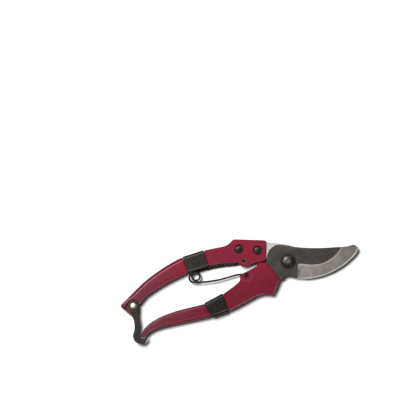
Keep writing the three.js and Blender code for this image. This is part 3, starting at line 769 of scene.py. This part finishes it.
def well(place, radius, end, face=HANDLE_TOP, chamfer=0.3):
    """A cutter for a round hole from a level face to its end, with a chamfered mouth."""
    out = 1 if face > end else -1
    profile = [
        (0, end), (radius, end), (radius, face - chamfer * out), (radius + chamfer, face),
        (radius + chamfer, face + 2 * out), (0, face + 2 * out),
    ]
    return turned("well", place, profile[::out])


def hexagon(place, across_flats):
    corner = across_flats / 2 / math.cos(math.pi / 6)
    angles = [math.radians(60 * k) for k in range(6)]
    return [(place[0] + corner * math.cos(a), place[1] + corner * math.sin(a)) for a in angles]


def swing_slot(place, start, end, reach, z):
    """A cutter for the room that a wire needs to swing about its hole, between two angles in degrees."""
    points = []
    for degrees, along, aside in (
        (start, 0, -WIRE_HOLE), (start, reach, -WIRE_HOLE), ((start + end) / 2, 1.2 * reach, 0),
        (end, reach, WIRE_HOLE), (end, 0, WIRE_HOLE),
    ):
        c, s = math.cos(math.radians(degrees)), math.sin(math.radians(degrees))
        points.append((place[0] + along * c - aside * s, place[1] + along * s + aside * c))
    tall = WIRE_RADIUS + GAP
    return prism("swing", points, z - tall, z + tall)


def wire_room(place, leg_z, start, end):
    """The cutters for the end of a wire in a handle: a shallow boss, its hole, and the slot it swings in."""
    return [
        well(place, BOSS_RADIUS, BOSS_FLOOR, chamfer=0.15),
        well(place, WIRE_HOLE, leg_z - 1.1, face=BOSS_FLOOR, chamfer=0.2),
        swing_slot(place, start, end, 9, leg_z),
    ]


# ---- Handles ----

BAND_QUADS = {
    "upper": [(-64.0, 32.7), (-82.3, 33.4), (-81.8, 18.9), (-64.2, 18.1)],
    "lower": [(-61.1, -7.1), (-78.1, -9.6), (-76.2, -22.9), (-61.2, -22.8)],
}
FRONT_ROUNDING, BAND_END_ROUNDING, NEAR_BAND, GROOVE_RAISED = 0.55, 0.25, 2.5, 0.2


def carried_on(values, ends):
    """Values along an outline, with those of its ends taken from the sides next to them."""
    count = len(values)
    known = np.flatnonzero(~ends)
    away = np.abs(np.arange(count)[:, None] - known[None])
    return values[known[np.minimum(away, count - away).argmin(1)]]


def end_cut(loop, quad):
    """True for the points of an outline that lie on the ends of the band's place."""
    front, rear = max(p[0] for p in quad), min(p[0] for p in quad)
    facing = outward(loop)
    near = (np.abs(loop[:, 0] - front) < NEAR_BAND) | (np.abs(loop[:, 0] - rear) < NEAR_BAND)
    return near & (np.abs(facing[:, 0]) > 0.8)


def handle_parts(which):
    """The front and rear outlines of a handle, on either side of its band."""
    front, rear = [evened(loop, 0.55, 4) for loop in loops_at(which + "_handle", HANDLE_SLICE)[:2]]
    if front[:, 0].mean() < rear[:, 0].mean():
        front, rear = rear, front
    return front, rear


def band_inside(quad, along, across):
    """The outline of a band, drawn in along the handle and across it."""
    (fx, fy), (rx, ry), (bx, by), (gx, gy) = quad
    return [
        (fx + along, fy - across), (rx - along, ry - across), (bx - along, by + across),
        (gx + along, gy + across),
    ]


def handle(which, paint, up, extra, rounds, tip, rounding, thinner, bevel, glint, front_cuts, rear_cuts=()):
    """A handle of two plates and the neck that joins them inside its band.

    up is 1 where the outer side faces along Y and -1 where it faces against it. extra is added to the front's
    rounding against Y, and rounds is how often that is evened out. tip is the rear's end, and the length over
    which its bevel grows to full width. rounding is the rear's, less thinner on its outer side. glint is the
    strength of the painted highlight on the bevel's crease."""
    quad = BAND_QUADS[which]
    front, rear = handle_parts(which)
    front_radii = np.full(len(front), FRONT_ROUNDING) + extra * np.clip(-outward(front)[:, 1], 0, 1)
    front_radii[end_cut(front, quad)] = BAND_END_ROUNDING
    ends = end_cut(rear, quad)
    outer_side = carried_on(np.clip(3 * up * outward(rear)[:, 1] - 1, 0, 1), ends)
    rear_radii = np.where(ends, BAND_END_ROUNDING, rounding - thinner * outer_side)
    widths = softened(bevel * outer_side * np.clip((rear[:, 0] - tip[0]) / tip[1], 0, 1), 12)
    levels = (HANDLE_BOTTOM, HANDLE_TOP)
    front_part = carved(slab("front", front, *levels, softened(front_radii, rounds)), front_cuts)
    rear_part = slab("rear", rear, *levels, softened(rear_radii, 6), crown=0.12, widths=widths, sides=~ends)
    if rear_cuts:
        rear_part = carved(rear_part, rear_cuts)
    inset = BAND_WALL + GAP
    core = prism("core", band_inside(quad, 1.5, inset), BAND_BOTTOM + inset, BAND_TOP - inset)
    piece = carved(front_part, [core, rear_part], "UNION")
    # Painted highlight on edges facing one side and on the bevel's crease; painted shade on edges facing
    # away.
    painted_edge_light = edge_light_values(piece, front, front_radii, least=EDGE_SHADE_MARK)
    painted_edge_light += edge_light_values(piece, rear, rear_radii, widths, ~ends, least=EDGE_SHADE_MARK, glint=glint)
    marked(piece, "painted_edge_light", painted_edge_light)
    node = which + "_handle"
    hand_in(piece, node + "_coated", node, which + "_half", "coated_handle", paint)


def upper_handle(paint):
    tang = grown(COUNTER_TANG + COUNTER_MOUTH, GAP)
    front_cuts = [prism("slot", tang, COUNTER_BOTTOM - GAP, COUNTER_TOP + GAP)]
    for place in HANDLE_SCREWS.values():
        front_cuts.append(rod(place, SCREW_HOLE, *HANDLE_CUT))
        front_cuts.append(well(place, SCREW_SEAT, SEAT_FLOOR))
        front_cuts.append(prism("nut", hexagon(place, NUT_POCKET_WIDTH), -1, NUT_POCKET_TOP))
    front_cuts += wire_room(UPPER_BOSS, UPPER_LEG_Z, 180, 250)
    front_cuts.append(groove(np.array([(-34.6, 27.6), (-12.2, 18.9)]), 0.22, 0.18))
    seat = [(-137.9, 13.5), (-143.6, 9.3), (-152.0, 3.0), (-140.0, -6.0), (-130.0, -2.0), (-129.4, 8.9)]
    rear_cuts = [
        prism("seat", seat, LATCH_SEAT, 13), rod(RIVET, 5.5, LATCH_SEAT, 13), rod(RIVET, RIVET_HOLE, -1, 13),
        well(RIVET, 3.3, 1.8, HANDLE_BOTTOM),
    ]
    handle(
        "upper", paint, up=1, extra=0.0, rounds=3, tip=(-144, 12), rounding=0.9, thinner=0.3, bevel=2.4,
        glint=1.0, front_cuts=front_cuts, rear_cuts=rear_cuts,
    )


def groove(line, half_width, depth):
    """A cutter for a fine V groove between two points of a handle's top."""
    start, end = line
    along = (end - start) / np.linalg.norm(end - start)
    across = np.array([-along[1], along[0]]) * half_width
    low, high = HANDLE_TOP - depth, HANDLE_TOP + GROOVE_RAISED
    wide = (depth + GROOVE_RAISED) / depth
    vertices = []
    for point in (start, end):
        vertices += [(*point, low), (*(point + across * wide), high), (*(point - across * wide), high)]
    faces = [(0, 1, 2), (3, 5, 4), (0, 3, 4, 1), (1, 4, 5, 2), (2, 5, 3, 0)]
    return made("groove", vertices, faces)


def ring_groove(place, radius, half_width, depth):
    """A cutter for a fine round V groove in a handle's top."""
    wide = half_width * (depth + GROOVE_RAISED) / depth
    low, high = HANDLE_TOP - depth, HANDLE_TOP + GROOVE_RAISED
    return turned("ring", place, [(radius, low), (radius + wide, high), (radius - wide, high)])


def lower_handle(paint):
    low, high = BLADE_BOTTOM - GAP, BLADE_TOP + GAP
    front_cuts = [
        prism("slot", grown(BLADE_TANG + BLADE_MOUTH, GAP), low, high),
        rod((0, 0), SHOULDER_RADIUS + GAP, low, high, steps=160),
    ]
    for place in BLADE_SCREWS.values():
        front_cuts.append(rod(place, SCREW_HOLE, HANDLE_CUT[0], high))
        front_cuts.append(well(place, SCREW_SEAT, 3.0, HANDLE_BOTTOM))
    front_cuts += wire_room(LOWER_BOSS, LOWER_LEG_Z, 118, 188)
    front_cuts.append(ring_groove(LOWER_BOSS, 4.2, 0.35, 0.3))
    handle(
        "lower", paint, up=-1, extra=0.5, rounds=5, tip=(-134, 20), rounding=0.8, thinner=0.2, bevel=2.0,
        glint=0.45, front_cuts=front_cuts,
    )


def grip_band(which, rubber):
    quad = BAND_QUADS[which]
    outer = evened(np.array(quad if area(np.array(quad)) > 0 else quad[::-1], float), 0.45, 2)
    along = np.abs(outward(outer)[:, 1]) > 0.7
    radii = softened(np.where(along, 0.5, 0.25), 2)
    widths = np.full(len(outer), 1.7)
    band = slab(
        "band", outer, BAND_BOTTOM, BAND_TOP, radii, widths=widths, sides=along, slope=0.4, spacing=1.6,
    )
    bore = band_inside(quad, 1, BAND_WALL)
    band = carved(band, [prism("bore", bore, BAND_BOTTOM + BAND_WALL, BAND_TOP - BAND_WALL)])
    # A painted highlight along the creases of the band's bevels.
    marked(band, "painted_edge_light", edge_light_values(band, outer, radii, widths, along, facing=(0, 0), least=0.0))
    hand_in(
        band, which + "_band_moulded", which + "_grip_band", which + "_half", "grip_band", rubber,
    )


# ---- Blades ----

ACROSS = (0.0, 0.03, 0.065, 0.095, 0.2, 0.36, 0.52, 0.68, 0.84, 1.0)
MICRO_SHARE, MICRO_RISE = 0.095, 0.6
BLADE_CHAMFER, BEVEL_ROWS = 0.32, 112
NOSE_START = 46.0


def bevel_height(share):
    """The height of the ground bevel at a share of the way from the edge to the bevel line."""
    land = BLADE_BOTTOM + BLADE_LAND
    if share <= MICRO_SHARE:
        return land + MICRO_RISE * share / MICRO_SHARE
    rest = (share - MICRO_SHARE) / (1 - MICRO_SHARE)
    return land + MICRO_RISE + (BLADE_TOP - land - MICRO_RISE) * rest


def cutting_blade(coating, ground, honed):
    turn = [(SHOULDER_RADIUS * math.cos(math.radians(a)), SHOULDER_RADIUS * math.sin(math.radians(a)))
            for a in np.linspace(184, 130, 60)]
    tang = opened(np.array([BLADE_NECK[-1], *BLADE_TANG[::-1], turn[0]], float), 0.8)
    spine = opened(spline([turn[-1], *BLADE_BACK], 240), 0.6)
    back = np.vstack([tang[:-1], turn[:-1], spine])
    edge = spline(CUTTING_EDGE, BEVEL_ROWS)
    limit = spline(BEVEL_LINE, BEVEL_ROWS)
    neck = opened(spline(BLADE_NECK, 60), 0.5)
    shares = np.array(ACROSS)
    heights = np.array([bevel_height(s) for s in shares])

    # The face: the back, the bevel line and the neck, clockwise, so each ring is turned round.
    rim = np.vstack([back, limit[1:], neck[1:-1]])
    chamfer = np.concatenate([
        np.full(len(back), BLADE_CHAMFER), np.zeros(len(limit) - 1), np.full(len(neck) - 2, BLADE_CHAMFER),
    ])
    from_corner = np.linalg.norm(rim - limit[0], axis=1)
    from_heel = np.linalg.norm(rim - limit[-1], axis=1)
    chamfer *= np.clip(np.minimum(from_corner / 3, from_heel / 2), 0, 1)
    rim, chamfer = rim[::-1], chamfer[::-1]
    flat, flat_faces, _ = cap(rim, chamfer, 2.2)
    face = np.column_stack([flat, BLADE_TOP - roll_off(flat, rim, chamfer)])

    # The bevel, as rows from the edge to the bevel line, and the nose beyond its first row.
    grid = edge[:, None, :] * (1 - shares[None, :, None]) + limit[:, None, :] * shares[None, :, None]
    grid = np.concatenate([grid, np.broadcast_to(heights[None, :, None], (*grid.shape[:2], 1))], 2)
    nose = spline(BLADE_NOSE, 200)[np.round((1 - shares) * 200).astype(int)]
    nose = np.column_stack([nose, heights])
    vertices = [*face, *grid.reshape(-1, 3), *nose]
    first = len(face)
    rows, columns = grid.shape[:2]
    nose_start = first + rows * columns
    faces = flat_faces.tolist()
    for i in range(rows - 1):
        for j in range(columns - 1):
            a = first + i * columns + j
            faces.append((a, a + columns, a + columns + 1, a + 1))
    for j in range(columns - 1):
        a = first + j
        faces.append((a, a + 1, nose_start + j + 1, nose_start + j))
    heel_edge = first + (rows - 1) * columns
    vertices.append((*neck[1], BLADE_TOP - roll_off(neck[1:2], rim, chamfer)[0]))
    # The end of the bevel at the heel is one more face, from the edge up to the bevel line.
    faces.append((*range(heel_edge, heel_edge + columns), len(vertices) - 1))

    # The floor and the walls.
    nose_line = nose[::-1]
    outline = np.vstack([back, nose_line[1:, :2], edge[1:], neck[1:-1]])
    tops = np.concatenate([
        BLADE_TOP - roll_off(back, rim, chamfer), nose_line[1:, 2],
        np.full(len(edge) - 1, heights[0]), BLADE_TOP - roll_off(neck[1:-1], rim, chamfer),
    ])
    outline, tops = outline[::-1], tops[::-1]
    floor, floor_faces, floor_rim = cap(outline, np.zeros(len(outline)), 2.5)
    start = len(vertices)
    vertices += [(*p, BLADE_BOTTOM) for p in floor]
    faces += (floor_faces[:, ::-1] + start).tolist()
    wall_start = len(vertices)
    vertices += [(*p, z) for p, z in zip(outline, tops)]
    for i in range(len(outline)):
        j = (i + 1) % len(outline)
        faces.append((start + floor_rim[i], start + floor_rim[j], wall_start + j, wall_start + i))
    piece = made("cutting_blade_ground", vertices, faces)
    holes = [((0, 0), BOLT_HOLE), *[(place, SCREW_HOLE) for place in BLADE_SCREWS.values()]]
    piece = carved(piece, [rod(place, radius, *BLADE_CUT) for place, radius in holes])
    mark_bevel(piece, edge, limit)
    upper_side = np.array([v.co.y > 0 for v in piece.data.vertices])
    # A painted highlight along the left-facing edges of the face's upper side.
    painted_edge_light = edge_light_values(piece, rim[::-1], np.full(len(rim), 0.5), facing=(-0.95, 0.3), least=0.0)
    marked(piece, "painted_edge_light", painted_edge_light * upper_side)
    hand_in(
        piece, "cutting_blade_ground", "cutting_blade", "lower_half", "coated_blade", coating, ground, honed,
    )


def mark_bevel(piece, edge, limit):
    """Gives the bevel its own steel, and each vertex its place along the edge and across it."""
    mesh = piece.data
    points = seen_from_above(piece)
    ring = np.vstack([edge, limit[::-1]])
    gap, place = nearest(points, np.vstack([edge, edge[::-1]]))
    place = np.minimum(place, 2 * len(edge) - 1 - place)
    along = np.interp(place, np.arange(len(edge)), travelled(edge))
    grind = mesh.attributes.new("grind", "FLOAT_VECTOR", "POINT")
    ways = np.column_stack([along, gap, np.zeros(len(along))])
    grind.data.foreach_set("vector", ways.ravel().astype(np.float32))
    micro_top = BLADE_BOTTOM + BLADE_LAND + MICRO_RISE + 0.02
    for polygon in mesh.polygons:
        middle = polygon.center / MM
        if polygon.normal.z < 0.2 or middle.z > BLADE_TOP - 0.02 or middle.z < BLADE_BOTTOM + 0.1:
            continue
        if middle.x > NOSE_START or inside(np.array([middle.xy]), ring)[0]:
            polygon.material_index = 2 if middle.z < micro_top else 1


def counter_blade(steel):
    outer = evened(loops_at("counter_blade", COUNTER_SLICE)[0], 0.5, 3)
    radii = np.full(len(outer), 0.3)
    piece = slab("counter", outer, COUNTER_BOTTOM, COUNTER_TOP, radii, spacing=2.5)
    holes = [((0, 0), BOLT_HOLE), *[(place, SCREW_HOLE) for place in HANDLE_SCREWS.values()]]
    piece = carved(piece, [rod(place, radius, *COUNTER_CUT) for place, radius in holes])
    hand_in(piece, "counter_blade_ground", "counter_blade", "upper_half", "polished_steel", steel)


# ---- Fasteners ----

RECESS_LONG, RECESS_HALF_WIDTH = 1.9, 0.5
HEAD_RIM, HEAD_HEIGHT = 1.25, 2.0


def cross_outline(place):
    """The outline of a Phillips recess, a cross of four arms."""
    wide, x, y = RECESS_HALF_WIDTH, *place
    corners = [
        (1, -wide), (1, wide), (wide, wide), (wide, 1), (-wide, 1), (-wide, wide),
        (-1, wide), (-1, -wide), (-wide, -wide), (-wide, -1), (wide, -1), (wide, -wide),
    ]
    return [
        (x + a * RECESS_LONG if abs(a) == 1 else x + a, y + b * RECESS_LONG if abs(b) == 1 else y + b)
        for a, b in corners
    ]


def screw(node, body, place, tip, seat, steel, recess, upwards=True):
    """A screw with a low domed Phillips head, its recess painted darker as shade. upwards says that the head
    is on top.
    """
    sign = 1 if upwards else -1
    profile = [(0, tip), (SCREW_RADIUS - 0.3, tip), (SCREW_RADIUS, tip + 0.3 * sign), (SCREW_RADIUS, seat)]
    profile += [(SCREW_HEAD, seat), (SCREW_HEAD, seat + sign * HEAD_RIM)]
    crown = dome(SCREW_HEAD - 0.08, 0, HEAD_HEIGHT - HEAD_RIM)
    profile += [(radius, seat + sign * (HEAD_RIM + height)) for radius, height in crown]
    piece = turned(node + "_head", place, profile, steps=48)
    face = seat + sign * HEAD_HEIGHT
    # Under the handle the recess has straight sides.
    low, high, taper = (face - 1.0, face + 0.6, 0.62) if upwards else (face - 0.6, face + 0.9, 1.0)
    cross = np.array(cross_outline(place))
    piece = carved(piece, [prism("cross", cross, low, high, taper=taper, centre=place)])
    # The recess's faces take the second material, painted dark as shade.
    for polygon in piece.data.polygons:
        middle = polygon.center / MM
        if sign * (middle.z - seat) > 0.1 and inside(np.array([middle.xy]), cross)[0]:
            polygon.material_index = 1
    hand_in(piece, node + "_head", node, body, "black_steel", steel, recess)


def nut(node, place, across_flats, bottom, top, hole, zinc):
    corner = across_flats / 2 / math.cos(math.pi / 6)
    slope = 0.5 * (corner - across_flats / 2)
    flat = across_flats / 2 - 0.1
    envelope = turned("envelope", place, [
        (0, bottom), (flat, bottom), (corner + 0.05, bottom + slope + 0.15),
        (corner + 0.05, top - slope - 0.15), (flat, top), (0, top),
    ])
    body = carved(prism("nut", hexagon(place, across_flats), bottom, top), [envelope], "INTERSECT")
    body = carved(body, [turned("bore", place, [
        (0, bottom - 1), (hole + 0.4, bottom - 1), (hole + 0.4, bottom), (hole, bottom + 0.4),
        (hole, top - 0.4), (hole + 0.4, top), (hole + 0.4, top + 1), (0, top + 1),
    ])])
    hand_in(body, node + "_hex", node, "upper_half", "zinc_steel", zinc)


def washer(node, place, inner, outer, bottom, top, slot, material):
    soft = 0.15
    profile = [
        (inner, bottom), (outer - soft, bottom), (outer, bottom + soft), (outer, top - soft),
        (outer - soft, top), (inner + soft, top), (inner, top - soft),
    ]
    name = node + "_flat"
    hand_in(turned(name, place, profile, steps=96), name, node, "upper_half", slot, material)


def pivot_bolt(steel):
    radius, head = BOLT_RADIUS, 5.68
    profile = [(0, 0), (radius - 0.5, 0), (radius, 0.5), (radius, 11.5), (5.5, 11.5), (head, 11.7)]
    profile += [(across, 11.95 + height) for across, height in dome(head, 0, 2.5, steps=20)]
    piece = turned("bolt", (0, 0), profile, steps=96)
    socket = turned("socket", (0, 0), [
        (0, 12.7), (1.2, 13.0), (2.3, 13.0), (2.3, 14.05), (2.75, 14.5), (2.75, 15), (0, 15),
    ], steps=6)
    piece = carved(piece, [socket])
    hand_in(piece, "pivot_bolt_domed", "pivot_bolt", "upper_half", "black_steel", steel)


def latch_rivet(nickel):
    profile = [(0, 0.8), (2.7, 0.8), (3.0, 1.1), (3.0, 1.7), (1.6, 1.7), (1.6, 12.0), (3.0, 12.0)]
    profile.append((3.1, 12.12))
    profile += [(radius, 12.15 + height) for radius, height in dome(3.1, 0, 1.32)]
    piece = turned("latch_rivet_domed", RIVET, profile)
    hand_in(piece, "latch_rivet_domed", "latch_rivet", "upper_half", "nickel_rivet", nickel)


def latch(steel):
    outer = evened(loops_at("latch", LATCH_SLICE)[0], 0.4, 3)
    radii = np.full(len(outer), 0.5)
    piece = carved(slab("latch_plate", outer, 9.5, 11.9, radii, spacing=1.5), [rod(RIVET, RIVET_HOLE, 8, 13)])
    # A painted highlight on the edges that face one way.
    marked(piece, "painted_edge_light", edge_light_values(piece, outer, radii, facing=(-0.6, 0.8), least=0.1))
    hand_in(piece, "latch_lever", "latch", "latch", "black_steel", steel)


# ---- Spring ----


def turned_end(place, z, towards):
    """The end of a wire in its hole: down the hole, round a tight bend and out along its leg."""
    bend = 0.9
    towards = np.array(towards) / np.linalg.norm(towards)
    points = [(*place, height) for height in np.linspace(WIRE_END - WIRE_RADIUS, z + bend, 8)]
    for angle in np.radians(np.linspace(15, 90, 6)):
        along = bend * (1 - math.cos(angle))
        points.append((*(np.array(place) + towards * along), z + bend - bend * math.sin(angle)))
    return points


def spring(steel):
    x, y = COIL_CENTRE
    z = UPPER_LEG_Z
    leg = spline([
        (-35.9, 12.45, z), (-38.4, 11.8, z), (-44.0, 12.5, z), (-51.1, 14.4, z), (-58.0, 15.8, z),
        (-64.3, 16.8, z), (-71.0, 17.4, z), (x, y + COIL_RADIUS, z),
    ], 80)
    upper = turned_end(UPPER_BOSS, z, (-0.96, -0.27)) + list(leg[1:])
    piece = tube("spring_upper_wire", upper, caps=(True, False))
    hand_in(piece, "spring_upper_wire", "spring_upper_leg", "spring_upper", "spring_wire", steel)

    turns = 1 + (34 + 270) / 360
    angles = np.radians(np.linspace(90, 90 + 360 * turns, 120))
    heights = np.linspace(z, COIL_TOP_Z, 120)
    coil = np.column_stack([x + COIL_RADIUS * np.cos(angles), y + COIL_RADIUS * np.sin(angles), heights])
    piece = tube("spring_coil", coil, caps=(False, False))
    piece.data.materials.append(steel)
    shaded(piece)
    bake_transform(piece)

    top, low = COIL_TOP_Z, LOWER_LEG_Z
    leg = spline([
        (x + 2.82, y + 1.9, top), (x + 0.6, y + 3.35, top), (x - 2.6, y + 3.2, top),
        (x - 5.0, y + 1.8, top), (x - 5.9, y - 0.8, top), (x - 4.8, y - 3.2, top), (x - 1.9, y - 4.5, top),
        (x + 3.9, y - 6.4, top - 0.2), (-67.5, 6.2, top - 0.5), (-59.1, 4.7, top - 1.0),
        (-50.5, 4.0, low + 0.4), (-43.6, 3.4, low), (-39.8, 2.2, low), (-37.8, 0.98, low),
    ], 150)
    lower = list(leg[:-1]) + turned_end(LOWER_BOSS, low, (-0.86, 0.5))[::-1]
    piece = tube("spring_lower_wire", lower, caps=(False, True))
    hand_in(piece, "spring_lower_wire", "spring_lower_leg", "spring_lower", "spring_wire", steel)


# ---- Assembly ----

place_camera()
place_stage()

handle_paint = coated_handle()
rubber = grip_rubber()
black = black_steel("black_steel")
zinc = bright_metal("zinc_steel", (150, 149, 144), (186, 185, 180), 0.38)

upper_handle(handle_paint)
lower_handle(handle_paint)
grip_band("upper", rubber)
grip_band("lower", rubber)
cutting_blade(
    coated_blade(),
    ground_steel("ground_bevel", (168, 160, 154), (128, 121, 116), (96, 88, 82), 0.42),
    ground_steel("honed_edge", (240, 236, 230), (210, 205, 199), (200, 195, 189), 0.4),
)
counter_blade(polished_steel())
pivot_bolt(black_steel("bolt_steel", (64, 60, 57), (76, 71, 68), 0.42, metallic=0.9))
screw_black = black_steel("screw_steel", (52, 48, 45), (66, 61, 58), 0.42, metallic=0.6)
# Painted shade: the screws' recesses are painted nearly black.
recess_shade = black_steel("recess_shade_steel", (14, 13, 12), (22, 20, 19), 0.6, metallic=0.2)
for end, spot in HANDLE_SCREWS.items():
    screw(f"handle_screw_{end}", "upper_half", spot, 0.9, 9.3, screw_black, recess_shade)
    nut(f"handle_nut_{end}", spot, 7.0, 0.8, 2.8, SCREW_HOLE, zinc)
for end, spot in BLADE_SCREWS.items():
    screw(f"blade_screw_{end}", "lower_half", spot, 10.1, 2.9, black, recess_shade, upwards=False)
washer("pivot_washer", (0, 0), BOLT_HOLE, 6.7, 10.6, 11.4, "black_steel", black)
washer("nut_washer", (0, 0), BOLT_HOLE, 8.0, 3.1, 3.9, "zinc_steel", zinc)
nut("pivot_nut", (0, 0), 13.0, 0.2, 3.0, BOLT_HOLE, zinc)
latch(black_steel("latch_steel", (20, 14, 9), (28, 21, 15), 0.5, metallic=0.1))
latch_rivet(bright_metal("nickel_rivet", (172, 163, 147), (198, 190, 174), 0.42))
washer("latch_washer", RIVET, RIVET_HOLE, 4.2, 8.8, 9.4, "black_steel", black)
spring(black_steel("spring_steel", (30, 28, 26), (40, 38, 35), 0.62, metallic=0.0, gloss=0.1))
